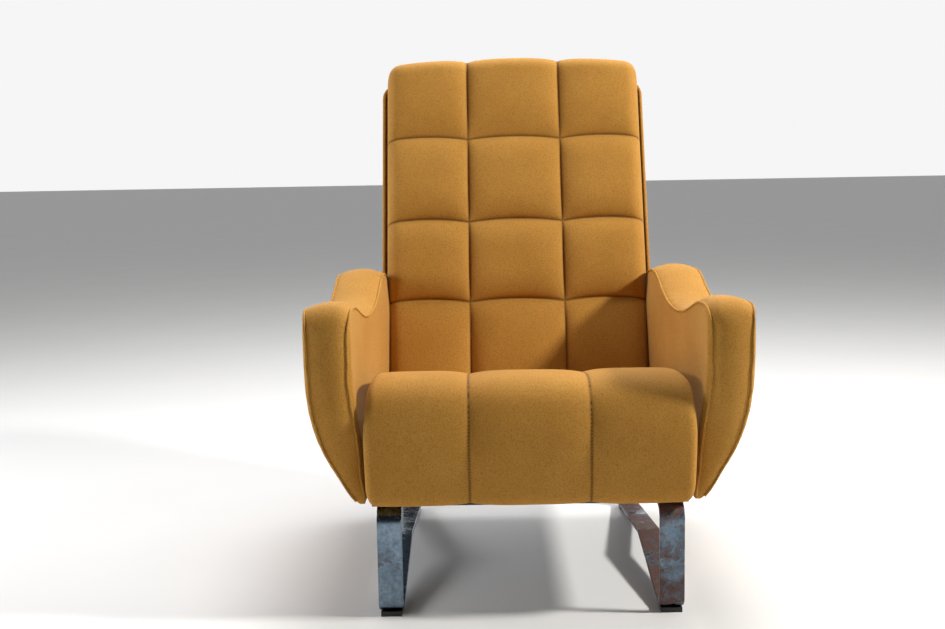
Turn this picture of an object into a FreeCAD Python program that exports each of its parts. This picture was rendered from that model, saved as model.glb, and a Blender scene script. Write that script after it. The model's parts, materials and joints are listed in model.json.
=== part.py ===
import FreeCAD, Part
import math
import os

V = FreeCAD.Vector

# Lounge armchair with a quilted reclined back, wave-topped arms and two bent flat-steel leg loops.
# Units are millimetres. +Z is up, -Y is the front, the origin is on the floor under the middle.

# --- leg loops -------------------------------------------------------------------------------
LEG_X = 226.0            # middle of each loop, sideways
BAR_W = 40.0             # flat bar width
BAR_T = 8.0              # flat bar thickness
LOOP_FRONT = -385.0      # front face of the front upright
LOOP_REAR = 235.0        # rear face of the rear upright
LOOP_TOP = 180.0         # top face of the loop, under the seat frame
GLIDE_T = 4.0            # plastic glide under each foot
KINK_Y = -105.0          # where the lower bar peaks
KINK_Z = 54.0            # top of that peak
BEND_LOW = 20.0          # outside radius of the foot bends
BEND_TOP = 25.0          # outside radius of the top bends
LOOP_BOLT_Y = (-310.0, -75.0, 165.0)

# --- timber seat frame -----------------------------------------------------------------------
CLOTH_T = 2.0            # black dust cover, and the fabric of the rear apron
RAIL_Z0 = LOOP_TOP + CLOTH_T
RAIL_Z1 = 262.0
RAIL_T = 26.0            # front and rear rail thickness
SIDE_IN = 212.0          # inner face of a side rail
SIDE_OUT = 240.0         # outer face of a side rail
BASE_FRONT = -366.0
BASE_REAR = 220.0

# --- seat ------------------------------------------------------------------------------------
SEAT_HALF = 257.0        # half the width of the seat cushion
SEAT_COVER = 5.0         # cover and wadding thickness
DECK_Z = 271.0           # underside of the seat foam
LEDGE_Z = 272.5          # top of the board that closes the seat behind the back
SPRING_X = (-160.0, -80.0, 0.0, 80.0, 160.0)
SPRING_R = 1.9           # spring wire radius
SPRING_Z = 264.4
SPRING_PITCH = 28.0      # half wave along the spring
SPRING_COUNT = 20

# --- back, drawn upright in its own plane and leaned back --------------------------------------
LEAN = math.degrees(math.atan2(228.0, 619.0))
BACK_FOOT = V(0, 100, 311)   # where the front of the back meets the seat
BACK_HALF = 254.0        # half the width of the back cushion
BACK_TOP = 662.0         # top of the back cushion along the slope
BACK_CROWN = 8.0         # how much the middle of the top stands above its ends
BACK_THICK = 57.0        # cushion thickness
SHELL_HALF = 276.0       # half the width of the rear shell
SHELL_TOP = 634.0        # top of the shell along the slope
SHELL_V0 = 60.0          # front edge of the shell's rim
SHELL_V1 = 106.0         # rear face of the shell
SHELL_RIM = 8.0
BACK_CORNER = 30.0       # radius of the cushion's top corners
FRAME_V0 = 60.0          # wooden back frame, front and rear face behind the cushion's face
FRAME_V1 = 92.0
STILE_TOP = 624.0
STRAP_V0 = 57.6          # webbing on the front of the back frame
STRAP_V1 = 59.8
STRAP_COUNT = 7
STRAP_FIRST = 60.0
STRAP_PITCH = 80.0
STRAP_WIDTH = 50.0
PANEL_V0 = 96.0          # moulded board of the shell
PANEL_V1 = 102.0
STILE_IN = 186.0
STILE_OUT = 211.0

# --- arms --------------------------------------------------------------------------------------
ARM_IN = 264.0           # inner face
ARM_OUT = 352.0          # widest part of the outer face
ARM_TIP = 85.0           # how far the outer face curves in at the bottom
ARM_BELLY = 430.0        # height where the outer face starts to curve in
ARM_CURL = 2.35          # how sharply it curves in
ARM_BOTTOM = 184.0
BAND_T = 24.0            # padded band round the front, top and rear of an arm
CORE_X0 = 272.3          # plywood core of an arm
CORE_X1 = 290.0
PIPE_R = 3.0             # piping cord radius
CORD_GAP = 0.2           # keeps the cord clear of the band it lies on
CORD_POINTS = 47         # bends in the outer cord's route round the arm
FIT = 0.3                # clearance between soft pieces

# --- fasteners -----------------------------------------------------------------------------------
M8_R = 4.0
M8_HEAD = 7.4
M6_R = 3.0
M6_HEAD = 5.6
HOLE_GAP = 0.2


def rounded_wire(corners):
    """Closed wire in the YZ plane through (y, z, radius) corners, each rounded by an arc."""
    count = len(corners)
    arcs = []
    for i in range(count):
        y, z, radius = corners[i]
        here = V(0, y, z)
        before = V(0, corners[i - 1][0], corners[i - 1][1]) - here
        after = V(0, corners[(i + 1) % count][0], corners[(i + 1) % count][1]) - here
        half = before.getAngle(after) / 2
        before.normalize()
        after.normalize()
        reach = radius / math.tan(half)
        middle = (before + after).normalize()
        nearest = radius / math.sin(half) - radius
        arcs.append((here + before * reach, here + middle * nearest, here + after * reach))
    edges = []
    for i in range(count):
        start, mid, end = arcs[i]
        edges.append(Part.Arc(start, mid, end).toShape())
        edges.append(Part.makeLine(end, arcs[(i + 1) % count][0]))
    return Part.Wire(edges)


def grown(corners, distance):
    """The same rounded outline moved outwards, or inwards where distance is negative."""
    moved = []
    count = len(corners)
    for i in range(count):
        y, z, radius = corners[i]
        here = V(0, y, z)
        arrive = (here - V(0, corners[i - 1][0], corners[i - 1][1])).normalize()
        depart = (V(0, corners[(i + 1) % count][0], corners[(i + 1) % count][1]) - here).normalize()
        normals = V(0, -arrive.z, arrive.y) + V(0, -depart.z, depart.y)
        corner = here + normals * (distance / (1 + arrive.dot(depart)))
        hollow = arrive.cross(depart).x > 0
        change = -distance if hollow else distance
        moved.append((corner.y, corner.z, max(0.5, radius + change)))
    return moved


def slab(wire, x0, x1):
    """Solid between two X values with a YZ outline."""
    face = Part.Face(wire)
    face.translate(V(x0, 0, 0))
    return face.extrude(V(x1 - x0, 0, 0))


def box(x0, x1, y0, y1, z0, z1):
    return Part.makeBox(x1 - x0, y1 - y0, z1 - z0, V(x0, y0, z0))


def mirrored(shape):
    return shape.mirror(V(0, 0, 0), V(1, 0, 0))


def both_sides(shape):
    return [shape, mirrored(shape)]


def lean(shape):
    """Carry a shape from the upright back plane (X across, Y = depth, Z = slope) into place."""
    placed = shape.copy()
    placed.rotate(V(0, 0, 0), V(1, 0, 0), -LEAN)
    placed.translate(BACK_FOOT)
    return placed


def hex_prism(radius, height, base, axis):
    """Hexagonal head or nut; radius is half the width across flats."""
    corner = radius / math.cos(math.radians(30))
    ring = [V(corner * math.cos(math.radians(60 * k)), corner * math.sin(math.radians(60 * k)), 0)
            for k in range(7)]
    prism = Part.Face(Part.makePolygon(ring)).extrude(V(0, 0, height))
    prism.Placement = FreeCAD.Placement(base, FreeCAD.Rotation(V(0, 0, 1), axis))
    return prism


# ================================ leg loops ======================================================

def loop_outline(inset):
    """Side view of a leg loop; inset 0 is its outside, BAR_T its inside."""
    low = GLIDE_T + inset
    return rounded_wire([
        (LOOP_FRONT + inset, low, BEND_LOW - inset),
        (LOOP_FRONT + inset, LOOP_TOP - inset, BEND_TOP - inset),
        (LOOP_REAR - inset, LOOP_TOP - inset, BEND_TOP - inset),
        (LOOP_REAR - inset, low, BEND_LOW - inset),
        (KINK_Y, KINK_Z - BAR_T + inset, 60.0 + inset),
    ])


def loop_bolt_holes(x):
    holes = []
    for y in LOOP_BOLT_Y:
        holes.append(Part.makeCylinder(M8_R + HOLE_GAP, 60, V(x, y, LOOP_TOP - 20)))
    return holes


def side_frame():
    """One closed loop of flat steel bar on the +X side."""
    outer = slab(loop_outline(0.0), LEG_X - BAR_W / 2, LEG_X + BAR_W / 2)
    inner = slab(loop_outline(BAR_T), LEG_X - BAR_W / 2 - 1, LEG_X + BAR_W / 2 + 1)
    bar = outer.cut(inner)
    sharp = [e for e in bar.Edges if abs(abs(e.CenterOfMass.x - LEG_X) - BAR_W / 2) < 0.01]
    bar = bar.makeFillet(1.2, sharp)
    for hole in loop_bolt_holes(LEG_X):
        bar = bar.cut(hole)
    return bar


def foot_glides(bar):
    """Black plastic glides moulded to the underside of each foot bend."""
    glides = []
    for y0, y1 in ((LOOP_FRONT + 4, LOOP_FRONT + 34), (LOOP_REAR - 34, LOOP_REAR - 4)):
        pad = box(LEG_X - 17, LEG_X + 17, y0, y1, 0, GLIDE_T + 4)
        pad = pad.cut(slab(loop_outline(0.0), LEG_X - 30, LEG_X + 30))
        glides.extend(both_sides(pad))
    return glides


def loop_bolts():
    """Bolts up through each loop into the side rails."""
    bolts = []
    for y in LOOP_BOLT_Y:
        top = V(LEG_X, y, LOOP_TOP - BAR_T - 1.5)
        shank = Part.makeCylinder(M8_R, 34, top)
        head = hex_prism(6.5, 5.3, top, V(0, 0, -1))
        bolts.extend(both_sides(shank.fuse(head).removeSplitter()))
    return bolts


def loop_washers():
    washers = []
    for y in LOOP_BOLT_Y:
        base = V(LEG_X, y, LOOP_TOP - BAR_T - 1.5)
        disc = Part.makeCylinder(8.5, 1.5, base)
        washers.extend(both_sides(disc.cut(Part.makeCylinder(M8_R + HOLE_GAP, 1.5, base))))
    return washers


# ================================ timber seat frame ===============================================

ARM_BOLT_Y = (-240.0, 60.0)
ARM_BOLT_Z = 230.0
STILE_BOLT_Z = (208.0, 244.0)


def back_plane_y(z, depth):
    """Y of a point in the leaned back, at height z and depth behind its front plane."""
    slope = math.radians(LEAN)
    return BACK_FOOT.y + (z - BACK_FOOT.z) * math.tan(slope) + depth / math.cos(slope)


def stile_bolt_y(z):
    return back_plane_y(z, 76.0)


def rail_holes():
    holes = loop_bolt_holes(LEG_X)
    for y in ARM_BOLT_Y:
        holes.append(Part.makeCylinder(M8_R + HOLE_GAP, 120, V(190, y, ARM_BOLT_Z), V(1, 0, 0)))
    for z in STILE_BOLT_Z:
        holes.append(Part.makeCylinder(M6_R + HOLE_GAP, 120, V(150, stile_bolt_y(z), z), V(1, 0, 0)))
    return holes


def side_rail():
    rail = box(SIDE_IN, SIDE_OUT, BASE_FRONT, BASE_REAR, RAIL_Z0, RAIL_Z1)
    for hole in rail_holes():
        rail = rail.cut(hole)
    return rail


def cross_rail(y0):
    return box(-SIDE_IN, SIDE_IN, y0, y0 + RAIL_T, RAIL_Z0, RAIL_Z1)


def corner_blocks():
    """Glued triangular blocks inside the four corners of the seat frame."""
    blocks = []
    front = BASE_FRONT + RAIL_T
    rear = BASE_REAR - RAIL_T
    for y, leg, way in ((front, 55.0, 1), (rear, 27.0, -1)):
        ring = [V(SIDE_IN, y, 192), V(SIDE_IN - leg, y, 192), V(SIDE_IN, y + way * leg, 192),
                V(SIDE_IN, y, 192)]
        blocks.extend(both_sides(Part.Face(Part.makePolygon(ring)).extrude(V(0, 0, 60))))
    return blocks


def arm_spacer_blocks():
    """Hardwood blocks that hold each arm off the side rail."""
    blocks = []
    for y in ARM_BOLT_Y:
        block = box(SIDE_OUT, ARM_IN - FIT, y - 30, y + 30, 200, 258)
        block = block.cut(Part.makeCylinder(M8_R + HOLE_GAP, 60, V(230, y, ARM_BOLT_Z), V(1, 0, 0)))
        blocks.extend(both_sides(block))
    return blocks


def sinuous_spring(x):
    """Zigzag seat spring from the front rail to the rear rail."""
    reach = 8.0
    half = SPRING_PITCH / 2
    y = BASE_FRONT + RAIL_T / 2
    edges = []
    side = 1
    for k in range(SPRING_COUNT):
        start = V(x - side * reach, y, SPRING_Z)
        end = V(x + side * reach, y, SPRING_Z)
        edges.append(Part.makeLine(start, end))
        outer = V(x + side * (reach + half), y + half, SPRING_Z)
        turn = V(x + side * reach, y + SPRING_PITCH, SPRING_Z)
        edges.append(Part.Arc(end, outer, turn).toShape())
        y += SPRING_PITCH
        side = -side
    edges.append(Part.makeLine(V(x - side * reach, y, SPRING_Z), V(x + side * reach, y, SPRING_Z)))
    path = Part.Wire(edges)
    start = V(x - reach, BASE_FRONT + RAIL_T / 2, SPRING_Z)
    ring = Part.Wire(Part.makeCircle(SPRING_R, start, V(1, 0, 0)))
    return path.makePipeShell([ring], True, False)


def spring_clips():
    """Folded clips that hold both ends of every spring."""
    clips = []
    front = BASE_FRONT + RAIL_T / 2
    rear = front + SPRING_PITCH * SPRING_COUNT
    for x in SPRING_X:
        for y in (front, rear):
            clip = box(x - 6, x + 6, y - 7, y + 7, RAIL_Z1, RAIL_Z1 + 5.8)
            slot = Part.makeCylinder(SPRING_R + 0.15, 30, V(x - 15, y, SPRING_Z), V(1, 0, 0))
            clips.append(clip.cut(slot))
    return clips


def dust_cover():
    """Black cloth stapled under the seat frame."""
    cloth = box(-SIDE_OUT - 14, SIDE_OUT + 14, BASE_FRONT - 4, BASE_REAR - 2, LOOP_TOP, RAIL_Z0)
    for hole in loop_bolt_holes(LEG_X) + loop_bolt_holes(-LEG_X):
        cloth = cloth.cut(hole)
    return cloth


def rear_apron():
    """Fabric-covered board that closes the rear of the seat under the shell."""
    skin = box(-260, 260, BASE_REAR + FIT, BASE_REAR + 6, RAIL_Z0, LEDGE_Z)
    ledge = box(-260, 260, 201, BASE_REAR + FIT, LEDGE_Z - 4, LEDGE_Z)
    return skin.fuse(ledge).removeSplitter()


def spring_deck():
    """Woven cloth laid over the springs, under the seat foam."""
    return box(-184, 184, BASE_FRONT + 2, 186, 268.3, 270.3)


# ================================ seat cushion =====================================================

def seat_outline(inset, past):
    """Side view of the seat: front roll, high front crown, falling to the back.

    past carries the open underside beyond the frame, for cutting.
    """
    return rounded_wire([
        (BASE_FRONT - 1.5 + past, ARM_BOTTOM + inset, 0.5),
        (-395.0 + inset, ARM_BOTTOM + inset, 19.0),
        (-417.0 + inset, 300.0, 150.0),
        (-394.0 + inset, 393.0 - inset, 48.0),
        (-310.0, 393.0 - inset, 150.0),
        (97.0 - inset, 301.0 - inset, 12.0 - inset),
        (87.0 - inset, DECK_Z - past, 0.5),
        (BASE_FRONT - 1.5 + past, DECK_Z - past, 0.5),
    ])


def rounded_end(half, length, corner):
    """Flat plate from the origin towards +Y with two rounded corners at its far end."""
    bend = corner * (1 - math.sqrt(0.5))
    edges = [
        Part.makeLine(V(-half, 0, 0), V(-half, length - corner, 0)),
        Part.Arc(V(-half, length - corner, 0), V(-half + bend, length - bend, 0),
                 V(-half + corner, length, 0)).toShape(),
        Part.makeLine(V(-half + corner, length, 0), V(half - corner, length, 0)),
        Part.Arc(V(half - corner, length, 0), V(half - bend, length - bend, 0),
                 V(half, length - corner, 0)).toShape(),
        Part.makeLine(V(half, length - corner, 0), V(half, 0, 0)),
        Part.makeLine(V(half, 0, 0), V(-half, 0, 0)),
    ]
    return Part.Face(Part.Wire(edges))


def seat_block(inset, past):
    """Seat shape with rounded front corners and rounded crown corners."""
    half = SEAT_HALF - inset
    block = slab(seat_outline(inset, past), -half - 5, half + 5)
    front = rounded_end(half, 550 - inset, 22.0).extrude(V(0, 0, 400))
    front.rotate(V(0, 0, 0), V(0, 0, 1), 180)
    front.translate(V(0, 132, 100))
    crown = rounded_end(half, 295 - inset, 34.0).extrude(V(0, 0, 700))
    crown.rotate(V(0, 0, 0), V(1, 0, 0), 90)
    crown.translate(V(0, 200, 100))
    return block.common(front).common(crown)


def seat_foam():
    return seat_block(SEAT_COVER, 0.0)


def seat_cover():
    return seat_block(0.0, 0.0).cut(seat_block(SEAT_COVER, 3.0))


# ================================ back ===============================================================

def back_outline(half, bottom, top, crown, corner):
    """Front view of the back: straight sides, rounded corners and a slightly crowned top."""
    left = V(-half + corner, 0, top)
    right = V(half - corner, 0, top)
    bend = corner * (1 - math.sqrt(0.5))
    edges = [
        Part.makeLine(V(-half, 0, bottom), V(-half, 0, top - corner)),
        Part.Arc(V(-half, 0, top - corner), V(-half + bend, 0, top - bend), left).toShape(),
        Part.Arc(left, V(0, 0, top + crown), right).toShape(),
        Part.Arc(right, V(half - bend, 0, top - bend), V(half, 0, top - corner)).toShape(),
        Part.makeLine(V(half, 0, top - corner), V(half, 0, bottom)),
        Part.makeLine(V(half, 0, bottom), V(-half, 0, bottom)),
    ]
    return Part.Face(Part.Wire(edges))


def back_slab(half, bottom, top, crown, corner, depth0, depth1):
    face = back_outline(half, bottom, top, crown, corner)
    face.translate(V(0, depth0, 0))
    return face.extrude(V(0, depth1 - depth0, 0))


def above_deck(shape):
    """Cut a leaned shape off level, just above the spring deck."""
    return shape.cut(box(-300, 300, -100, 300, 100, DECK_Z + 0.5))


def back_block(inset, depth1):
    half = BACK_HALF - inset
    block = back_slab(half, -60.0, BACK_TOP - inset, BACK_CROWN, BACK_CORNER, inset, depth1)
    rim = [e for e in block.Edges if abs(e.CenterOfMass.y - inset) < 0.01 and e.CenterOfMass.z > -50]
    return block.makeFillet(15.0 - inset, rim)


def back_foam():
    return above_deck(lean(back_block(SEAT_COVER, BACK_THICK)))


def back_cover():
    """Cover with its padded roll over the top of the shell."""
    whole = back_block(0.0, FRAME_V1)
    whole = whole.cut(box(-300, 300, BACK_THICK, 200, -100, SHELL_TOP + 6))
    return above_deck(lean(whole.cut(back_block(SEAT_COVER, BACK_THICK))))


def back_stile():
    post = box(STILE_IN, STILE_OUT, FRAME_V0, FRAME_V1, -140, STILE_TOP)
    post = lean(post).cut(box(100, 300, -100, 300, 0, 196))
    for hole in rail_holes():
        post = post.cut(hole)
    return post


def back_rail(z0, z1):
    return lean(box(-STILE_IN, STILE_IN, FRAME_V0, FRAME_V1, z0, z1))


def back_straps():
    """Elastic webbing stretched across the stiles."""
    straps = []
    for k in range(STRAP_COUNT):
        z = STRAP_FIRST + STRAP_PITCH * k
        straps.append(lean(box(-STILE_OUT, STILE_OUT, STRAP_V0, STRAP_V1, z, z + STRAP_WIDTH)))
    return straps


def shell_panel():
    """Thin moulded board behind the back frame."""
    board = back_slab(SHELL_HALF - SHELL_RIM - 2, -20.0, SHELL_TOP - SHELL_RIM - 2, 2.0, 20.0, PANEL_V0, PANEL_V1)
    return above_deck(lean(board))


def shell_cover():
    """Fabric tray that wraps the panel and turns forward as a thin rim."""
    outer = back_slab(SHELL_HALF, -49.0, SHELL_TOP, 4.0, 24.0, SHELL_V0, SHELL_V1)
    pocket = back_slab(SHELL_HALF - SHELL_RIM, -60.0, SHELL_TOP - SHELL_RIM, 3.0, 18.0, SHELL_V0 - 1, PANEL_V1 + FIT)
    tray = outer.cut(pocket)
    crest = [e for e in tray.Edges if abs(e.CenterOfMass.y - SHELL_V1) < 0.01 and e.CenterOfMass.z > -48]
    return above_deck(lean(tray.makeFillet(3.0, crest)))


def stile_bolts():
    bolts = []
    for z in STILE_BOLT_Z:
        y = stile_bolt_y(z)
        shank = Part.makeCylinder(M6_R, SIDE_OUT - 176, V(176, y, z), V(1, 0, 0))
        head = hex_prism(M6_HEAD, 4.2, V(SIDE_OUT, y, z), V(1, 0, 0))
        bolts.extend(both_sides(shank.fuse(head).removeSplitter()))
    return bolts


def stile_nuts():
    nuts = []
    for z in STILE_BOLT_Z:
        y = stile_bolt_y(z)
        nut = hex_prism(M6_HEAD, 5.2, V(STILE_IN - 5.2, y, z), V(1, 0, 0))
        bore = Part.makeCylinder(M6_R + 0.05, 20, V(STILE_IN - 12, y, z), V(1, 0, 0))
        nuts.extend(both_sides(nut.cut(bore)))
    return nuts


# ================================ arms ================================================================

def arm_outline(bottom):
    """Side view of an arm: front horn, saddle and high rear crest."""
    return [
        (-376.0, bottom, 4.0),
        (-420.0, 370.0, 690.0),
        (-418.0, 511.0, 44.0),
        (-326.0, 514.0, 290.0),
        (-120.0, 456.0, 410.0),
        (130.0, 536.0, 235.0),
        (250.0, 486.0, 62.0),
        (250.0, 330.0, 1400.0),
        (236.0, bottom, 4.0),
    ]


def outer_x(z):
    """Outer face of the arm at height z."""
    drop = max(0.0, (ARM_BELLY - z) / (ARM_BELLY - ARM_BOTTOM))
    return ARM_OUT - ARM_TIP * drop ** ARM_CURL


def fin_section():
    """Front view of an arm: flat inside, curved outside, running to a point at the bottom."""
    bottom = ARM_BOTTOM - 2
    curve = [V(outer_x(bottom + k * (ARM_BELLY - bottom) / 8), -460, bottom + k * (ARM_BELLY - bottom) / 8)
             for k in range(9)]
    spline = Part.BSplineCurve()
    spline.interpolate(curve)
    edges = [
        spline.toShape(),
        Part.makeLine(curve[-1], V(ARM_OUT, -460, 560)),
        Part.makeLine(V(ARM_OUT, -460, 560), V(ARM_IN, -460, 560)),
        Part.makeLine(V(ARM_IN, -460, 560), V(ARM_IN, -460, bottom)),
        Part.makeLine(V(ARM_IN, -460, bottom), curve[0]),
    ]
    return Part.Face(Part.Wire(edges)).extrude(V(0, 760, 0))


def shell_notch():
    """Room for the back shell at the rear of each arm."""
    return lean(box(0, SHELL_HALF + 2, SHELL_V0 - 2, SHELL_V1 + 40, -200, 700))


def arm_body():
    """Whole arm on the +X side, before it is divided."""
    return slab(rounded_wire(arm_outline(ARM_BOTTOM)), 250, 360).common(fin_section())


def arm_filling():
    """What the band wraps round."""
    inner = slab(rounded_wire(grown(arm_outline(ARM_BOTTOM - BAND_T), -BAND_T)), 250, 360)
    return inner.common(fin_section()).cut(shell_notch())


def arm_layer(x0, x1):
    return arm_filling().common(box(x0, x1, -460, 300, 100, 600))


def arm_bolt_hole(y):
    return Part.makeCylinder(M8_R + HOLE_GAP, 100, V(200, y, ARM_BOLT_Z), V(1, 0, 0))


def arm_core():
    core = arm_layer(CORE_X0, CORE_X1)
    for y in ARM_BOLT_Y:
        core = core.cut(arm_bolt_hole(y))
    return core


def arm_inner_pad():
    pad = arm_layer(ARM_IN - 1, CORE_X0 - FIT)
    for y in ARM_BOLT_Y:
        pad = pad.cut(arm_bolt_hole(y))
    return pad


def arm_outer_pad():
    return arm_layer(CORE_X1 + FIT, ARM_OUT + 5)


def cord_outline():
    """Side view of both cords, which lie on the surface of the band."""
    return rounded_wire(grown(arm_outline(ARM_BOTTOM), PIPE_R + CORD_GAP))


def inner_cord():
    """Piping cord along the inner edge of the band, ending where the back shell begins."""
    edges = []
    for edge in Part.sortEdges(cord_outline().Edges)[0]:
        middle = edge.valueAt((edge.FirstParameter + edge.LastParameter) / 2)
        behind = middle.y > back_plane_y(middle.z, SHELL_V0 - 20)
        if middle.z > ARM_BOTTOM + 14 and not behind:
            edges.append(edge)
    path = Part.Wire(Part.sortEdges(edges)[0])
    path.translate(V(ARM_IN + PIPE_R, 0, 0))
    return swept_cord(path)


def bent_path(points):
    """Straight runs joined by tangent arcs, as large as each pair of runs allows."""
    edges = []
    start = points[0]
    for i in range(1, len(points) - 1):
        back = points[i - 1] - points[i]
        ahead = points[i + 1] - points[i]
        reach = 0.45 * min(back.Length, ahead.Length)
        half = back.getAngle(ahead) / 2
        back.normalize()
        ahead.normalize()
        sagitta = reach * (1 - math.sin(half)) / math.cos(half)
        enter = points[i] + back * reach
        leave = points[i] + ahead * reach
        edges.append(Part.makeLine(start, enter))
        edges.append(Part.Arc(enter, points[i] + (back + ahead).normalize() * sagitta, leave).toShape())
        start = leave
    edges.append(Part.makeLine(start, points[-1]))
    return Part.Wire(edges)


def outer_cord():
    """Piping cord along the outer edge of the band, which curves in towards the bottom."""
    points = []
    for point in cord_outline().discretize(CORD_POINTS):
        if point.z > ARM_BOTTOM + 20:
            points.append(V(outer_x(point.z) - PIPE_R, point.y, point.z))
    points.sort(key=lambda point: math.atan2(-90 - point.y, 300 - point.z) % (2 * math.pi))
    return swept_cord(bent_path(points))


def swept_cord(path):
    edge = path.Edges[0]
    start = edge.valueAt(edge.FirstParameter)
    ring = Part.Wire(Part.makeCircle(PIPE_R, start, edge.tangentAt(edge.FirstParameter)))
    return path.makePipeShell([ring], True, False)


def arm_band():
    """Padded strip round the front, top and rear of the arm."""
    hollow = slab(rounded_wire(grown(arm_outline(ARM_BOTTOM - BAND_T), FIT - BAND_T)), 240, 370)
    return arm_body().cut(hollow).cut(shell_notch())


def arm_bolts():
    """Bolts from inside the seat frame into the arm cores."""
    bolts = []
    for y in ARM_BOLT_Y:
        shank = Part.makeCylinder(M8_R, CORE_X1 - 2 - SIDE_IN, V(SIDE_IN, y, ARM_BOLT_Z), V(1, 0, 0))
        head = hex_prism(6.5, 5.3, V(SIDE_IN, y, ARM_BOLT_Z), V(-1, 0, 0))
        bolts.extend(both_sides(shank.fuse(head).removeSplitter()))
    return bolts


# ================================ write every node =======================================================

def save(name, shapes):
    pieces = shapes if isinstance(shapes, list) else [shapes]
    whole = pieces[0] if len(pieces) == 1 else Part.makeCompound(pieces)
    whole.exportStep("parts/" + name + ".step")
    print(name, len(whole.Solids), round(whole.Volume / 1000.0, 1), whole.isValid())


def save_pair(name, shape):
    save(name + "_right", shape)
    save(name + "_left", mirrored(shape))


def main():
    os.makedirs("parts", exist_ok=True)
    bar = side_frame()
    save_pair("side_frame", bar)
    save("foot_glides", foot_glides(bar))
    save("loop_bolts", loop_bolts())
    save("loop_washers", loop_washers())
    save_pair("side_rail", side_rail())
    save("front_rail", cross_rail(BASE_FRONT))
    save("rear_rail", cross_rail(BASE_REAR - RAIL_T))
    save("corner_blocks", corner_blocks())
    save("arm_spacer_blocks", arm_spacer_blocks())
    save("seat_springs", [sinuous_spring(x) for x in SPRING_X])
    save("spring_clips", spring_clips())
    save("spring_deck", spring_deck())
    save("dust_cover", dust_cover())
    save("rear_apron", rear_apron())
    save("seat_foam", seat_foam())
    save("seat_cover", seat_cover())
    save_pair("back_stile", back_stile())
    save("back_top_rail", back_rail(586.0, 624.0))
    save("back_bottom_rail", back_rail(0.0, 38.0))
    save("back_straps", back_straps())
    save("back_foam", back_foam())
    save("back_cover", back_cover())
    save("shell_panel", shell_panel())
    save("shell_cover", shell_cover())
    save("stile_bolts", stile_bolts())
    save("stile_nuts", stile_nuts())
    save_pair("arm_core", arm_core())
    save_pair("arm_inner_pad", arm_inner_pad())
    save_pair("arm_outer_pad", arm_outer_pad())
    save_pair("arm_band", arm_band())
    save_pair("arm_piping_inner", inner_cord())
    save_pair("arm_piping_outer", outer_cord())
    save("arm_bolts", arm_bolts())


main()
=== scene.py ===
import json
import math
import bmesh
import bpy
from mathutils import Matrix, Vector, noise
from mathutils.bvhtree import BVHTree
from mathutils.kdtree import KDTree


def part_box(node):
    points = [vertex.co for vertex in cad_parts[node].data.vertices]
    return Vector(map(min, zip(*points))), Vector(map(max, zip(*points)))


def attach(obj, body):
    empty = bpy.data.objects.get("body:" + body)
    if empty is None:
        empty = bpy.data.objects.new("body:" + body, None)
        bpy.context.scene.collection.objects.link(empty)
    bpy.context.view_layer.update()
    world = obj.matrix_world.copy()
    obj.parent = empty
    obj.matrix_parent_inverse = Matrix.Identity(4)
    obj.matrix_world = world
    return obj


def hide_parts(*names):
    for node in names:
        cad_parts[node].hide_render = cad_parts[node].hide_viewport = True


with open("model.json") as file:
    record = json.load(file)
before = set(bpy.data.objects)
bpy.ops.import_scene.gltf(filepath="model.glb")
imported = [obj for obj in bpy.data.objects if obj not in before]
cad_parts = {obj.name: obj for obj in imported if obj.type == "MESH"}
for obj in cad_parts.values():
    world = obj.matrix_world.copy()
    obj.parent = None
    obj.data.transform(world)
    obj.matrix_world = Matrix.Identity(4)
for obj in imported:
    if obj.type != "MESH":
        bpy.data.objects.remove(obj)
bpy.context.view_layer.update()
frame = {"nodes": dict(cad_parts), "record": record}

bpy.ops.object.select_all(action="DESELECT")
nodes = frame["nodes"]


# shader sums: sockets that add, subtract and multiply like numbers
class Sock:
    def __init__(self, maker, out):
        self.maker, self.out = maker, out

    def join(self, operation, a, b):
        return self.maker.node("ShaderNodeMath", {"operation": operation}, {0: a, 1: b})

    def __add__(self, other):
        return self.join("ADD", self, other)

    def __radd__(self, other):
        return self.join("ADD", other, self)

    def __sub__(self, other):
        return self.join("SUBTRACT", self, other)

    def __rsub__(self, other):
        return self.join("SUBTRACT", other, self)

    def __mul__(self, other):
        return self.join("MULTIPLY", self, other)

    def __rmul__(self, other):
        return self.join("MULTIPLY", other, self)


class Finish:
    def __init__(self, name):
        self.material = bpy.data.materials.new(name)
        self.material.use_nodes = True
        self.tree = self.material.node_tree
        self.shader = self.tree.nodes["Principled BSDF"]

    def node(self, kind, settings, values, output=0):
        made = self.tree.nodes.new(kind)
        for key, value in settings.items():
            setattr(made, key, value)
        for key, value in values.items():
            if isinstance(value, Sock):
                self.tree.links.new(value.out, made.inputs[key])
            else:
                made.inputs[key].default_value = value
        return Sock(self, made.outputs[output])

    def place(self):
        return self.node("ShaderNodeTexCoord", {}, {}, "Object")

    def speckle(self, scale, detail=2.0, rough=0.5, where=None):
        return self.node("ShaderNodeTexNoise", {}, {"Vector": where or self.place(), "Scale": scale,
                                                    "Detail": detail, "Roughness": rough})

    def between(self, low, high, value):
        return self.node("ShaderNodeMapRange", {"interpolation_type": "SMOOTHSTEP"},
                         {"Value": value, "From Min": low, "From Max": high})

    def tint(self, mask, first, second):
        return self.node("ShaderNodeMix", {"data_type": "RGBA"}, {"Factor": mask, 6: first, 7: second}, 2)

    def attribute(self, name):
        return self.node("ShaderNodeAttribute", {"attribute_name": name}, {}, "Fac")

    def bump(self, height, distance, strength=1.0):
        return self.node("ShaderNodeBump", {}, {"Height": height, "Distance": distance, "Strength": strength})

    def feed(self, **values):
        for key, value in values.items():
            name = key.replace("_", " ")
            if isinstance(value, Sock):
                self.tree.links.new(value.out, self.shader.inputs[name])
            else:
                self.shader.inputs[name].default_value = value
        return self.material


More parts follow.
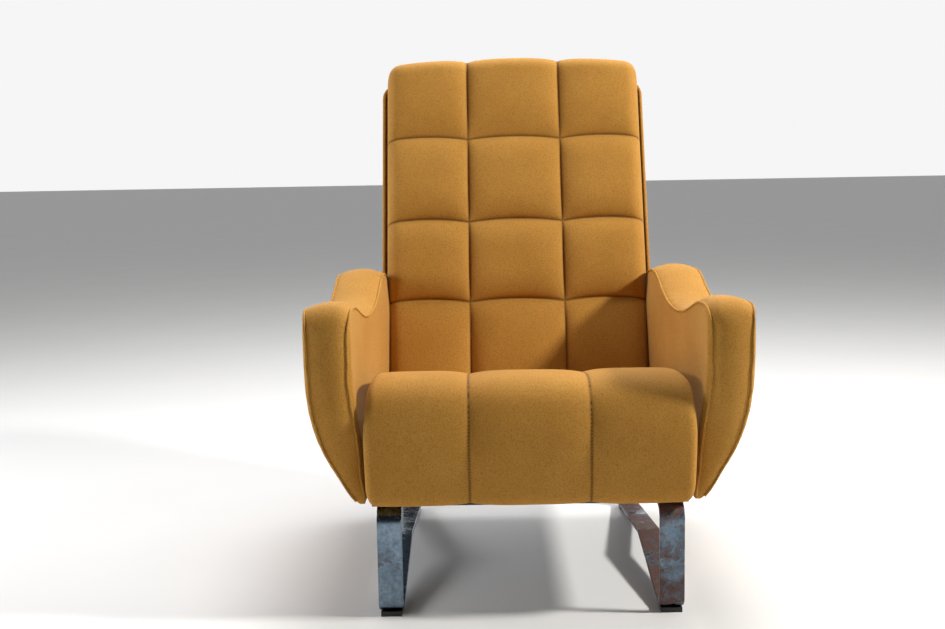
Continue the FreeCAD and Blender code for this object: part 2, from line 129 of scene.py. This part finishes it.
cloth = {
    "deep": (0.235, 0.098, 0.014, 1), "main": (0.43, 0.203, 0.029, 1), "worn": (0.50, 0.250, 0.044, 1),
    "stitchPitch": 0.0052, "stitchWidth": 0.0011, "knit": 1150.0, "fuzz": 420.0,
}


def mustardCloth(name, seams=True):
    fin = Finish(name)
    cloud = fin.speckle(7.0, 3.0, 0.55)               # slow fading over the chair
    rub = fin.speckle(38.0, 4.0, 0.6)                 # soft blotches
    fibre = fin.speckle(cloth["knit"], 1.0, 0.5)      # loops of the knit
    fuzz = fin.speckle(cloth["fuzz"], 2.0, 0.7)
    tone = fin.tint(fin.between(0.3, 0.75, cloud * 0.7 + rub * 0.3), cloth["main"], cloth["worn"])
    tone = fin.tint(fin.between(0.40, 0.72, fuzz) * 0.55, tone, cloth["deep"])
    height = fibre * 0.6 + fuzz * 0.4
    if seams:
        gap = fin.attribute("seamGap")
        run = fin.attribute("seamRun")
        # painted shade: a darker band along each seam, standing in for the shade in the seam groove
        creaseShade = 1.0 - fin.between(0.0004, 0.0045, gap)
        thread = 1.0 - fin.between(cloth["stitchWidth"] * 0.7, cloth["stitchWidth"] * 1.4, gap)
        beat = run * (2 * math.pi / cloth["stitchPitch"])
        dash = fin.node("ShaderNodeMath", {"operation": "SINE"}, {0: beat})
        stitch = thread * fin.between(-0.1, 0.5, dash)
        # paints the seam groove shade in dark brown
        tone = fin.tint(creaseShade * 0.55, tone, (0.13, 0.045, 0.006, 1))
        tone = fin.tint(stitch * 0.8, tone, (0.07, 0.026, 0.006, 1))
        height = height - stitch * 1.2
    fin.feed(Base_Color=tone, Roughness=fuzz * 0.14 + 0.78, Normal=fin.bump(height, 0.00035, 0.55))
    return fin.feed(Sheen_Weight=0.10, Sheen_Roughness=0.4, Sheen_Tint=(1.0, 0.83, 0.55, 1),
                    Specular_IOR_Level=0.25)


def agedPlate():
    fin = Finish("agedPlate")
    broad = fin.speckle(9.0, 5.0, 0.6)
    grain = fin.speckle(95.0, 6.0, 0.7)
    pit = fin.speckle(520.0, 3.0, 0.7)
    onRight = fin.between(-0.1, 0.1, fin.node("ShaderNodeSeparateXYZ", {}, {0: fin.place()}, 0))
    rust = fin.between(0.53, 0.64, broad * 0.62 + grain * 0.38 + onRight * 0.11)
    specks = fin.between(0.66, 0.72, pit)
    metal = fin.tint(fin.between(0.3, 0.7, grain), (0.085, 0.125, 0.165, 1), (0.20, 0.26, 0.32, 1))
    scab = fin.tint(fin.between(0.35, 0.65, pit), (0.05, 0.018, 0.012, 1), (0.16, 0.062, 0.035, 1))
    tone = fin.tint(rust * 0.9, metal, scab)
    tone = fin.tint(specks * 0.75, tone, (0.045, 0.03, 0.028, 1))
    height = rust * 0.7 + specks * 0.6 + grain * 0.2
    return fin.feed(Base_Color=tone, Metallic=1.0 - rust * 0.8 - specks * 0.15,
                    Roughness=grain * 0.16 + 0.16 + rust * 0.4, Normal=fin.bump(height, 0.0006))


def beechWood(name, pale, dark):
    fin = Finish(name)
    stretch = fin.node("ShaderNodeMapping", {}, {"Vector": fin.place(), "Scale": (9.0, 2.0, 9.0)})
    rings = fin.node("ShaderNodeTexWave", {}, {"Vector": stretch, "Scale": 3.2,
                                               "Distortion": 7.0, "Detail": 3.0})
    flecks = fin.speckle(60.0, 4.0, 0.7, stretch)
    tone = fin.tint(rings * 0.6 + flecks * 0.4, pale, dark)
    return fin.feed(Base_Color=tone, Roughness=flecks * 0.2 + 0.5, Normal=fin.bump(flecks, 0.0004))


def wovenCloth(name, light, dark, pitch, rough=0.85):
    fin = Finish(name)
    parts = fin.node("ShaderNodeSeparateXYZ", {}, {0: fin.place()}, 0)
    across = fin.node("ShaderNodeMath", {"operation": "SINE"}, {0: parts * (2 * math.pi / pitch)})
    along = Sock(fin, parts.out.node.outputs["Y"])
    along = fin.node("ShaderNodeMath", {"operation": "SINE"}, {0: along * (2 * math.pi / pitch)})
    weave = across * along * 0.5 + 0.5
    fleck = fin.speckle(180.0, 3.0)
    tone = fin.tint(weave * 0.6 + fleck * 0.4, dark, light)
    return fin.feed(Base_Color=tone, Roughness=fleck * 0.1 + rough,
                    Normal=fin.bump(weave + fleck * 0.3, 0.0004))


def plainMetal(name, light, dark, rough):
    fin = Finish(name)
    smudge = fin.speckle(140.0, 4.0, 0.6)
    return fin.feed(Base_Color=fin.tint(smudge, dark, light), Metallic=1.0, Roughness=smudge * 0.2 + rough)


def glidePlastic():
    fin = Finish("glidePlastic")
    scuff = fin.speckle(300.0, 4.0, 0.6)
    return fin.feed(Base_Color=fin.tint(scuff, (0.01, 0.01, 0.011, 1), (0.035, 0.033, 0.032, 1)),
                    Roughness=scuff * 0.3 + 0.4, Normal=fin.bump(scuff, 0.0002))


def openFoam():
    fin = Finish("openFoam")
    cells = fin.node("ShaderNodeTexVoronoi", {}, {"Vector": fin.place(), "Scale": 500.0}, 0)
    return fin.feed(Base_Color=fin.tint(cells, (0.55, 0.42, 0.16, 1), (0.83, 0.72, 0.42, 1)),
                    Roughness=0.9, Normal=fin.bump(cells, 0.0006))


clothSeamed = mustardCloth("mustardSeamed")
clothPlain = mustardCloth("mustardPlain", False)
steel = agedPlate()
blackCloth = wovenCloth("blackCambric", (0.022, 0.022, 0.024, 1), (0.006, 0.006, 0.007, 1), 0.0016)
print("finishes ready")


# small helpers
def smooth(low, high, value):
    t = min(1.0, max(0.0, (value - low) / (high - low)))
    return t * t * (3 - 2 * t)


def spread(low, high, count):
    # closer together at both ends, where the seams are
    return [low + (high - low) * (0.3 * k / count + 0.7 * (0.5 - 0.5 * math.cos(math.pi * k / count)))
            for k in range(count)]


def rounding(gap, radius):
    # how far a rounded edge has fallen back at this distance from it
    gap = min(radius, max(0.0, gap))
    return radius - math.sqrt(radius * radius - (radius - gap) ** 2)


def newPiece(name, verts, faces, material):
    mesh = bpy.data.meshes.new(name)
    mesh.from_pydata(verts, [], faces)
    piece = bpy.data.objects.new(name, mesh)
    bpy.context.collection.objects.link(piece)
    mesh.materials.append(material)
    edit = bmesh.new()
    edit.from_mesh(mesh)
    bmesh.ops.remove_doubles(edit, verts=edit.verts, dist=0.00002)
    bmesh.ops.recalc_face_normals(edit, faces=edit.faces)
    edit.to_mesh(mesh)
    edit.free()
    return piece


def makeActive(piece):
    bpy.ops.object.select_all(action="DESELECT")
    piece.select_set(True)
    bpy.context.view_layer.objects.active = piece


def applied(piece, kind, **settings):
    makeActive(piece)
    step = piece.modifiers.new(kind.lower(), kind)
    for key, value in settings.items():
        setattr(step, key, value)
    bpy.ops.object.modifier_apply(modifier=step.name)


def shade(piece):
    for face in piece.data.polygons:
        face.use_smooth = True


def writeSeams(piece, measure):
    # distance to the nearest seam, and how far along it, for the stitches
    gaps = piece.data.attributes.new("seamGap", "FLOAT", "POINT")
    runs = piece.data.attributes.new("seamRun", "FLOAT", "POINT")
    for k, vert in enumerate(piece.data.vertices):
        gaps.data[k].value, runs.data[k].value = measure(vert.co)


def shellOf(front, rear, walls):
    # closes two matching grids of points with side walls
    rows, cols = len(front), len(front[0])
    verts = [p for row in front for p in row] + [p for row in rear for p in row]
    size = rows * cols
    faces = []
    for i in range(rows - 1):
        for j in range(cols - 1):
            a = i * cols + j
            faces.append((a, a + 1, a + cols + 1, a + cols))
            faces.append((size + a, size + a + cols, size + a + cols + 1, size + a + 1))
    rim = [(0, j) for j in range(cols)] + [(i, cols - 1) for i in range(1, rows)]
    rim += [(rows - 1, j) for j in range(cols - 2, -1, -1)] + [(i, 0) for i in range(rows - 2, 0, -1)]
    rings = [[i * cols + j for i, j in rim]]
    for k in range(1, walls):
        start = len(verts)
        for i, j in rim:
            verts.append(Vector(front[i][j]).lerp(Vector(rear[i][j]), k / walls))
        rings.append(list(range(start, start + len(rim))))
    rings.append([size + i * cols + j for i, j in rim])
    for lower, upper in zip(rings, rings[1:]):
        for k in range(len(rim)):
            n = (k + 1) % len(rim)
            faces.append((lower[k], lower[n], upper[n], upper[k]))
    return verts, faces


# quilted back cushion
back = {
    "foot": Vector((0, 0.100, 0.311)), "lean": math.atan2(228, 619), "half": 0.2635, "top": 0.664,
    "crown": 0.012, "thick": 0.057, "roll": 0.091, "rollFrom": 0.639,
    "columns": (-0.095, 0.095), "rows": (0.151, 0.318, 0.496),
    "bottom": -0.045, "bottomClear": 0.004, "face": 0.0145, "puff": 0.0195, "arch": 0.0065,
    "edge": 0.026, "corner": 0.026, "fallMost": 0.034, "wobble": 0.0016, "seamDepth": 0.045,
    "across": 22, "up": 24, "walls": 4,                     # points across and up one quilted cell
}
upSlope = Vector((0, math.sin(back["lean"]), math.cos(back["lean"])))
behind = Vector((0, math.cos(back["lean"]), -math.sin(back["lean"])))


def leanPoint(x, v, u):
    return back["foot"] + Vector((x, 0, 0)) + behind * v + upSlope * u


def leanCoords(point):
    local = point - back["foot"]
    return local.x, local.dot(behind), local.dot(upSlope)


def backTop(x):
    gap = back["half"] - abs(x)
    return back["top"] + back["crown"] * (1 - (x / back["half"]) ** 2) - rounding(gap, back["corner"])


def rowSeam(level, x):
    # each row seam rises a little between the column seams
    marks = (-back["half"],) + back["columns"] + (back["half"],)
    for left, right in zip(marks, marks[1:]):
        if left <= x <= right:
            a = (x - left) / (right - left)
            return level + back["arch"] * (1 - (2 * a - 1) ** 2) - back["arch"] * 0.5
    return level - back["arch"] * 0.5


def cellPuff(a, b, sharp):
    return (1 - abs(2 * a - 1) ** sharp) ** 0.62 * (1 - abs(2 * b - 1) ** sharp) ** 0.62


def backGrid():
    marks = (-back["half"],) + back["columns"] + (back["half"],)
    xs = []
    for left, right in zip(marks, marks[1:]):
        xs += [(x, (x - left) / (right - left)) for x in spread(left, right, back["across"])]
    xs.append((back["half"], 1.0))
    front, rear = [], []
    levels = (None,) + back["rows"] + (None,)
    for cell in range(4):
        steps = spread(0.0, 1.0, back["up"]) + ([1.0] if cell == 3 else [])
        for t in steps:
            rowFront, rowRear = [], []
            for x, a in xs:
                low = back["bottom"] if cell == 0 else rowSeam(levels[cell], x)
                high = backTop(x) if cell == 3 else rowSeam(levels[cell + 1], x)
                u = low + (high - low) * t
                b = 0.5 + 0.5 * t if cell == 0 else t             # the lowest row carries on behind the seat
                b = t * 0.62 if cell == 3 else b                  # the top row wraps over the top
                sideGap = back["half"] - abs(x)
                topGap = backTop(x) - u
                fall = math.hypot(rounding(sideGap, back["edge"]), rounding(topGap, back["edge"] * 1.2))
                wobble = back["wobble"] * noise.noise(Vector((x * 9, u * 9, 3.1)))
                v = back["face"] - (back["puff"] + wobble) * cellPuff(a, b, 3.0) + min(fall, back["fallMost"])
                rowFront.append(leanPoint(x, v, u))
                rolled = smooth(back["rollFrom"] - 0.004, back["rollFrom"] + 0.002, u)
                deep = back["thick"] + (back["roll"] - back["thick"]) * rolled
                deep -= min(0.03, rounding(topGap, 0.022)) + 0.3 * rounding(sideGap, 0.012)
                rowRear.append(leanPoint(x, max(deep, v + 0.004), u))
            front.append(rowFront)
            rear.append(rowRear)
    return front, rear


def backSeam(point):
    x, v, u = leanCoords(point)
    if v > back["seamDepth"]:                               # no seams on the rear
        return 1.0, 0.0
    columnGap = min(abs(x - c) for c in back["columns"])
    rowGap = min(abs(u - rowSeam(level, x)) for level in back["rows"])
    return (rowGap, x) if rowGap < columnGap else (columnGap, u)


def settle(piece, floorZ):
    for vert in piece.data.vertices:
        vert.co.z = max(vert.co.z, floorZ)


verts, faces = shellOf(*backGrid(), back["walls"])
backCushion = newPiece("back_cushion", verts, faces, clothSeamed)
applied(backCushion, "SUBSURF", levels=1, render_levels=1)
settle(backCushion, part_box("back_foam")[0].z + back["bottomClear"])
writeSeams(backCushion, backSeam)
shade(backCushion)
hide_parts("back_cover", "back_foam")
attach(backCushion, "root")
print("back cushion", len(backCushion.data.polygons))


# seat cushion with its front roll
seat = {
    "profile": ((-0.371, 0.1850), (-0.386, 0.1855), (-0.399, 0.195), (-0.4075, 0.228), (-0.4125, 0.272),
                (-0.4125, 0.312), (-0.4045, 0.346), (-0.386, 0.3695), (-0.357, 0.3815), (-0.315, 0.382),
                (-0.24, 0.372), (-0.14, 0.353), (-0.04, 0.331), (0.045, 0.311), (0.080, 0.302),
                (0.0905, 0.292), (0.086, 0.274)),
    "under": ((-0.3675, 0.1848), (-0.3675, 0.2715), (0.0855, 0.2715)),
    "frontDrop": 0.0867, "deckRun": 0.453,                  # the two runs of that underside
    "startFade": 0.03, "endFade": 0.05,                     # where the crown dies away at its ends
    "widths": ((0.0, 0.253), (0.05, 0.2615), (0.14, 0.2625), (0.22, 0.257), (0.27, 0.251), (0.42, 0.250),
               (0.80, 0.250)),                              # run along the profile, half width there
    "columns": (-0.096, 0.096), "puff": 0.0068, "sink": 0.002, "edge": 0.013, "wobble": 0.0012,
    "tuck": 0.985, "stations": 96, "across": 22, "walls": 5,
}


def alongProfile(points, count):
    # even points on a smooth curve through the given ones
    fine = []
    for i in range(len(points) - 1):
        p0, p1 = Vector(points[max(0, i - 1)]), Vector(points[i])
        p2, p3 = Vector(points[i + 1]), Vector(points[min(len(points) - 1, i + 2)])
        for k in range(12):
            t = k / 12
            fine.append(0.5 * ((2 * p1) + (p2 - p0) * t + (2 * p0 - 5 * p1 + 4 * p2 - p3) * t * t
                               + (3 * p1 - p0 - 3 * p2 + p3) * t ** 3))
    fine.append(Vector(points[-1]))
    lengths = [0.0]
    for a, b in zip(fine, fine[1:]):
        lengths.append(lengths[-1] + (b - a).length)
    result = []
    k = 0
    for n in range(count):
        want = lengths[-1] * n / (count - 1)
        while k < len(fine) - 2 and lengths[k + 1] < want:
            k += 1
        share = (want - lengths[k]) / max(1e-9, lengths[k + 1] - lengths[k])
        result.append((want, fine[k].lerp(fine[k + 1], share)))
    return result


def pick(pairs, value):
    for (a, x), (b, y) in zip(pairs, pairs[1:]):
        if value <= b:
            return x + (y - x) * smooth(a, b, value)
    return pairs[-1][1]


def seatGrid():
    outer = alongProfile(seat["profile"], seat["stations"])
    under = [Vector(spot) for spot in seat["under"]]
    bend = seat["frontDrop"] / (seat["frontDrop"] + seat["deckRun"])
    top, bottom = [], []
    for k, (run, spot) in enumerate(outer):
        ahead = outer[min(k + 1, len(outer) - 1)][1]
        before = outer[max(k - 1, 0)][1]
        along = (ahead - before).normalized()
        outward = Vector((-along.y, along.x))               # left of the way the profile runs
        half = pick(seat["widths"], run)
        share = k / (len(outer) - 1)
        if share < bend:
            low = under[0].lerp(under[1], share / bend)
        else:
            low = under[1].lerp(under[2], (share - bend) / (1 - bend))
        marks = (-half,) + seat["columns"] + (half,)
        rowTop, rowBottom = [], []
        for left, right in zip(marks, marks[1:]):
            last = right == half
            for x in spread(left, right, seat["across"]) + ([half] if last else []):
                a = (x - left) / (right - left)
                fall = rounding(half - abs(x), seat["edge"])
                ends = smooth(0.0, seat["startFade"], run) * smooth(0.0, seat["endFade"], outer[-1][0] - run)
                sideways = 0.3 if (left == -half and a < 0.5) or (last and a > 0.5) else 1.0
                lift = seat["puff"] * (1 - sideways * abs(2 * a - 1) ** 3.0) ** 0.8 * ends - seat["sink"]
                lift += seat["wobble"] * noise.noise(Vector((x * 8, run * 8, 1.7)))
                place = spot + outward * (lift - fall * ends)
                rowTop.append(Vector((x, place.x, place.y)))
                rowBottom.append(Vector((x * seat["tuck"], low.x, low.y)))
        top.append(rowTop)
        bottom.append(rowBottom)
    return top, bottom


def seatSeam(point):
    if point.z < 0.274 and point.y > -0.37:                 # no seams on the underside
        return 1.0, 0.0
    gap = min(abs(point.x - c) for c in seat["columns"])
    return gap, point.z - point.y


verts, faces = shellOf(*seatGrid(), seat["walls"])
seatCushion = newPiece("seat_cushion", verts, faces, clothSeamed)
applied(seatCushion, "SUBSURF", levels=1, render_levels=1)
writeSeams(seatCushion, seatSeam)
shade(seatCushion)
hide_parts("seat_cover", "seat_foam")
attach(seatCushion, "root")
print("seat cushion", len(seatCushion.data.polygons))


# arms
arm = {
    "inside": 0.264, "outside": 0.352, "tip": 0.080, "belly": 0.430, "bottom": 0.184, "curl": 2.9,
    "leanOut": 0.012, "leanOutUp": (0.24, 0.42), "leanOutBack": (-0.36, 0.05),      # inner face, at the front
    "leanIn": 0.0065, "leanInUp": (0.42, 0.52), "leanInBack": (-0.05, 0.12),        # and at the rear
    "leanAcross": (0.0, 0.45), "thinnest": 0.005, "shellSide": 0.2795, "shellFade": (0.040, 0.056),
    "swellDeep": (0.004, 0.05), "swellUp": (0.19, 0.24),                            # where the band is crowned
    "voxel": 0.0048, "soften": 9, "crown": 0.0105, "shrink": 0.013,
    "cord": 0.0022, "cordFrom": 0.189, "cordStop": 0.036,       # radius, lowest point, rear end of the inner one
    "cordPoints": 170, "outlinePoints": 260,
    "corners": ((-0.376, 0.184, 0.004), (-0.420, 0.370, 0.690), (-0.418, 0.511, 0.044), (-0.326, 0.514, 0.290),
                (-0.120, 0.456, 0.410), (0.130, 0.536, 0.235), (0.250, 0.486, 0.062), (0.250, 0.330, 1.400),
                (0.236, 0.184, 0.004)),
}


def armOuter(z):
    drop = max(0.0, (arm["belly"] - z) / (arm["belly"] - arm["bottom"]))
    return arm["outside"] - arm["tip"] * drop ** arm["curl"]


def armOutline():
    # side view of the arm: straight runs joined by arcs, from the front foot over the top to the rear foot
    path = []
    corners = arm["corners"]
    for before, (y, z, radius), after in zip(corners, corners[1:], corners[2:]):
        spot = Vector((y, z))
        toBack = (Vector(before[:2]) - spot).normalized()
        toNext = (Vector(after[:2]) - spot).normalized()
        halfAngle = toBack.angle(toNext) / 2
        centre = spot + (toBack + toNext).normalized() * (radius / math.sin(halfAngle))
        first = spot + toBack * (radius / math.tan(halfAngle)) - centre
        turn = first.angle_signed(spot + toNext * (radius / math.tan(halfAngle)) - centre)
        steps = max(3, int(abs(turn) / 0.05))
        for k in range(steps + 1):
            path.append(centre + Matrix.Rotation(-turn * k / steps, 2) @ first)
    return [tuple(corners[0][:2])] + [tuple(p) for p in path] + [tuple(corners[-1][:2])]


def outlineField(outline):
    # even samples of the side outline with the way out at each one
    samples = [spot for _, spot in alongProfile(outline, arm["outlinePoints"])]
    middle = Vector((-0.09, 0.33))
    tree = KDTree(len(samples))
    outward = []
    for k, spot in enumerate(samples):
        tree.insert((spot.x, spot.y, 0), k)
        along = samples[min(k + 1, len(samples) - 1)] - samples[max(k - 1, 0)]
        away = Vector((-along.y, along.x)).normalized()
        outward.append(away if away.dot(spot - middle) > 0 else -away)
    tree.balance()
    return tree, outward


def shapeArm(piece, outline):
    applied(piece, "REMESH", mode="VOXEL", voxel_size=arm["voxel"], use_smooth_shade=True)
    applied(piece, "SMOOTH", factor=0.5, iterations=arm["soften"])
    mesh = piece.data
    width = arm["outside"] - arm["inside"]
    tree, outward = outlineField(outline)
    moved = []
    for vert in mesh.vertices:
        co = vert.co.copy()
        across = min(1.0, max(0.0, (co.x - arm["inside"]) / width))
        _, nearest, deep = tree.find((co.y, co.z, 0))
        reach = (1 - smooth(*arm["swellDeep"], deep)) * smooth(*arm["swellUp"], co.z)
        swell = (arm["crown"] * (1 - (2 * across - 1) ** 2) - arm["shrink"]) * reach
        co.y += outward[nearest].x * swell
        co.z += outward[nearest].y * swell
        room = max(arm["thinnest"], armOuter(co.z) - arm["inside"])
        co.x = arm["inside"] + (co.x - arm["inside"]) * room / width
        inner = 1 - smooth(*arm["leanAcross"], across)
        frontward = 1 - smooth(*arm["leanOutBack"], co.y)
        rearward = smooth(*arm["leanInBack"], co.y)
        slantOut = arm["leanOut"] * smooth(*arm["leanOutUp"], co.z) * frontward
        slantIn = arm["leanIn"] * rearward * (1 - smooth(*arm["leanInUp"], co.z))
        co.x += (slantOut - slantIn) * inner
        v = leanCoords(co)[1]
        if co.x < arm["shellSide"] and v > arm["shellFade"][0]:     # makes way for the shell
            co.x += (arm["shellSide"] - co.x) * smooth(*arm["shellFade"], v)
        moved.append(co)
    for vert, co in zip(mesh.vertices, moved):
        vert.co = co
    applied(piece, "SMOOTH", factor=0.35, iterations=2)


def buildArm():
    outline = armOutline()
    count = len(outline)
    verts = [(x, y, z) for x in (arm["inside"], arm["outside"]) for y, z in outline]
    faces = [tuple(range(count)), tuple(range(count, 2 * count))]
    faces += [(k, (k + 1) % count, count + (k + 1) % count, count + k) for k in range(count)]
    piece = newPiece("arm_cover_right", verts, faces, clothPlain)
    shapeArm(piece, outline)
    shade(piece)
    return piece, outline


def mirroredCopy(piece, name):
    twin = piece.copy()
    twin.data = piece.data.copy()
    twin.name = name
    bpy.context.collection.objects.link(twin)
    for vert in twin.data.vertices:
        vert.co.x = -vert.co.x
    twin.data.flip_normals()
    return twin


def pipingPath(cover, outline, onInside):
    # lies the cord on the cushion's surface just inside the edge of the band
    cover.data.update()
    tree = BVHTree.FromPolygons([v.co for v in cover.data.vertices],
                                [p.vertices for p in cover.data.polygons])
    points = []
    for _, (y, z) in alongProfile(outline, arm["cordPoints"]):
        if z < arm["cordFrom"] or (onInside and leanCoords(Vector((0, y, z)))[1] > arm["cordStop"]):
            continue
        lean = arm["leanOut"] * smooth(*arm["leanOutUp"], z) * (1 - smooth(*arm["leanOutBack"], y))
        x = arm["inside"] + 0.0005 + lean if onInside else armOuter(z) - 0.001
        aim = Vector((x, y, z - arm["shrink"] * smooth(0.30, 0.42, z)))
        spot, normal, _, _ = tree.find_nearest(aim)
        points.append(spot + normal * 0.0008)
    return points


def pipingCord(name, points, side):
    curve = bpy.data.curves.new(name, "CURVE")
    curve.dimensions = "3D"
    curve.bevel_depth = arm["cord"]
    curve.bevel_resolution = 3
    curve.use_fill_caps = True
    spline = curve.splines.new("POLY")
    spline.points.add(len(points) - 1)
    for k, point in enumerate(points):
        spline.points[k].co = (point.x * side, point.y, point.z, 1)
    cord = bpy.data.objects.new(name, curve)
    bpy.context.collection.objects.link(cord)
    makeActive(cord)
    bpy.ops.object.convert(target="MESH")
    cord = bpy.context.object
    cord.data.materials.clear()
    cord.data.materials.append(clothPlain)
    shade(cord)
    return cord


armRight, outline = buildArm()
armLeft = mirroredCopy(armRight, "arm_cover_left")
for label, side, cover in (("right", 1, armRight), ("left", -1, armLeft)):
    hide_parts("arm_band_" + label, "arm_outer_pad_" + label, "arm_inner_pad_" + label,
                "arm_core_" + label)
    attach(cover, "root")
    for edge in ("inner", "outer"):
        route = pipingPath(armRight, outline, edge == "inner")
        cord = pipingCord("arm_piping_" + edge + "_" + label + "_sewn", route, side)
        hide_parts("arm_piping_" + edge + "_" + label)
        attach(cord, "root")
print("arms", len(armRight.data.polygons))


# thin upholstered shell behind the back
shellFit = {"voxel": 0.0042, "swell": 0.006, "half": 0.28, "top": 0.634}


def backShell():
    piece = nodes["shell_cover"].copy()
    piece.data = nodes["shell_cover"].data.copy()
    piece.name = "back_shell"
    for key in list(piece.keys()):
        del piece[key]
    piece.parent = None
    bpy.context.collection.objects.link(piece)
    piece.hide_render = piece.hide_viewport = False
    edit = bmesh.new()
    edit.from_mesh(piece.data)
    bmesh.ops.remove_doubles(edit, verts=edit.verts, dist=0.00001)
    edit.to_mesh(piece.data)
    edit.free()
    applied(piece, "REMESH", mode="VOXEL", voxel_size=shellFit["voxel"], use_smooth_shade=True)
    applied(piece, "SMOOTH", factor=0.5, iterations=3)
    for vert in piece.data.vertices:
        x, v, u = leanCoords(vert.co)
        if v > 0.1:
            across = 1 - (x / shellFit["half"]) ** 2
            swell = shellFit["swell"] * across * smooth(0.0, 0.09, shellFit["top"] - u)
            vert.co += behind * swell
    piece.data.materials.clear()
    piece.data.materials.append(clothPlain)
    shade(piece)
    return piece


shell = backShell()
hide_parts("shell_cover")
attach(shell, "root")
print("shell", len(shell.data.polygons))


# finishes of the CAD pieces
def finishNodes():
    beech = beechWood("beech", (0.62, 0.40, 0.22, 1), (0.45, 0.26, 0.13, 1))
    plywood = beechWood("plywood", (0.60, 0.42, 0.25, 1), (0.46, 0.30, 0.16, 1))
    zinc = plainMetal("zincSteel", (0.66, 0.66, 0.63, 1), (0.42, 0.42, 0.40, 1), 0.32)
    wire = plainMetal("springWire", (0.20, 0.20, 0.21, 1), (0.07, 0.07, 0.075, 1), 0.4)
    bySlot = {
        "leg_steel": steel, "glide_plastic": glidePlastic(), "zinc_steel": zinc, "spring_wire": wire,
        "beech": beech, "plywood": plywood, "black_cloth": blackCloth, "foam": openFoam(),
        "mustard_fabric": clothPlain, "piping_fabric": clothPlain,
        "deck_cloth": wovenCloth("deckHessian", (0.50, 0.41, 0.27, 1), (0.28, 0.21, 0.12, 1), 0.003),
        "webbing": wovenCloth("elasticWebbing", (0.10, 0.09, 0.08, 1), (0.03, 0.028, 0.025, 1), 0.0022),
    }
    for part in frame["record"]["subparts"]:
        piece = nodes[part["node"]]
        piece.data.materials.clear()
        piece.data.materials.append(bySlot[part["material_slot"]])


finishNodes()
print("CAD pieces finished")


# studio
studio = {
    "floor": (0.72, 0.72, 0.72, 1), "floorPale": (0.76, 0.76, 0.76, 1), "floorSize": 60,
    "skyFrom": -0.2, "skyTo": 0.7, "skyFront": 0.04, "skyBack": 0.92,
    "keyAim": (0, -0.1, 0.45), "softAim": (0, 0, 0.4),
    "keyAt": (2.7, -0.66, 2.3), "keySize": 0.40, "keyPower": 130.0, "keyTint": (1.0, 0.98, 0.93),
    "fillAt": (-2.7, -0.2, 1.2), "fillSize": 1.0, "fillPower": 42.0,
    "topAt": (0.1, 0.9, 2.8), "topSize": 1.4, "topPower": 62.0,
    "eye": (-0.07225, -2.28938, 0.73673), "pitch": 7.376, "yaw": -0.44, "roll": -1.013,
    "sensor": 36.0, "focal": 1231.0, "wide": 945,           # focal length in the same steps as the width
}


def areaLight(name, place, aim, size, power, tint):
    data = bpy.data.lights.new(name, "AREA")
    data.shape, data.size, data.energy, data.color = "DISK", size, power, tint
    lamp = bpy.data.objects.new(name, data)
    bpy.context.collection.objects.link(lamp)
    lamp.location = place
    lamp.rotation_euler = (Vector(aim) - Vector(place)).to_track_quat("-Z", "Y").to_euler()


def addStudio():
    bpy.ops.mesh.primitive_plane_add(size=studio["floorSize"], location=(0, 0, 0))
    floor = bpy.context.object
    floor.name = "studio_floor"
    fin = Finish("paleFloor")
    cloud = fin.speckle(3.0, 2.0)
    fin.feed(Base_Color=fin.tint(cloud, studio["floor"], studio["floorPale"]), Roughness=0.75)
    floor.data.materials.append(fin.material)
    world = bpy.data.worlds.new("studioSky")
    bpy.context.scene.world = world
    world.use_nodes = True
    sky = world.node_tree                               # a bright wall behind, a dim room in front
    sky.nodes["Background"].inputs["Color"].default_value = (1, 1, 1, 1)
    around = sky.nodes.new("ShaderNodeTexCoord")
    parts = sky.nodes.new("ShaderNodeSeparateXYZ")
    ramp = sky.nodes.new("ShaderNodeMapRange")
    ramp.inputs["From Min"].default_value = studio["skyFrom"]
    ramp.inputs["From Max"].default_value = studio["skyTo"]
    ramp.inputs["To Min"].default_value = studio["skyFront"]
    ramp.inputs["To Max"].default_value = studio["skyBack"]
    sky.links.new(around.outputs["Generated"], parts.inputs[0])
    sky.links.new(parts.outputs["Y"], ramp.inputs["Value"])
    sky.links.new(ramp.outputs["Result"], sky.nodes["Background"].inputs["Strength"])
    areaLight("key", studio["keyAt"], studio["keyAim"], studio["keySize"], studio["keyPower"], studio["keyTint"])
    areaLight("fill", studio["fillAt"], studio["softAim"], studio["fillSize"], studio["fillPower"], (1, 1, 1))
    areaLight("top", studio["topAt"], studio["softAim"], studio["topSize"], studio["topPower"], (1, 1, 1))


def addCamera():
    pitch, yaw, roll = (math.radians(studio[k]) for k in ("pitch", "yaw", "roll"))
    ahead = Vector((math.sin(yaw) * math.cos(pitch), math.cos(yaw) * math.cos(pitch), -math.sin(pitch)))
    level = Vector((math.cos(yaw), -math.sin(yaw), 0))
    above = level.cross(ahead)
    right = level * math.cos(roll) + above * math.sin(roll)
    above = above * math.cos(roll) - level * math.sin(roll)
    data = bpy.data.cameras.new("camera")
    data.sensor_width = studio["sensor"]
    data.lens = studio["sensor"] * studio["focal"] / studio["wide"]
    eye = bpy.data.objects.new("camera", data)
    bpy.context.collection.objects.link(eye)
    eye.matrix_world = Matrix.Translation(studio["eye"]) @ Matrix((right, above, -ahead)).transposed().to_4x4()
    bpy.context.scene.camera = eye


addStudio()
addCamera()
bpy.context.scene.view_settings.view_transform = "Standard"
print("ready")
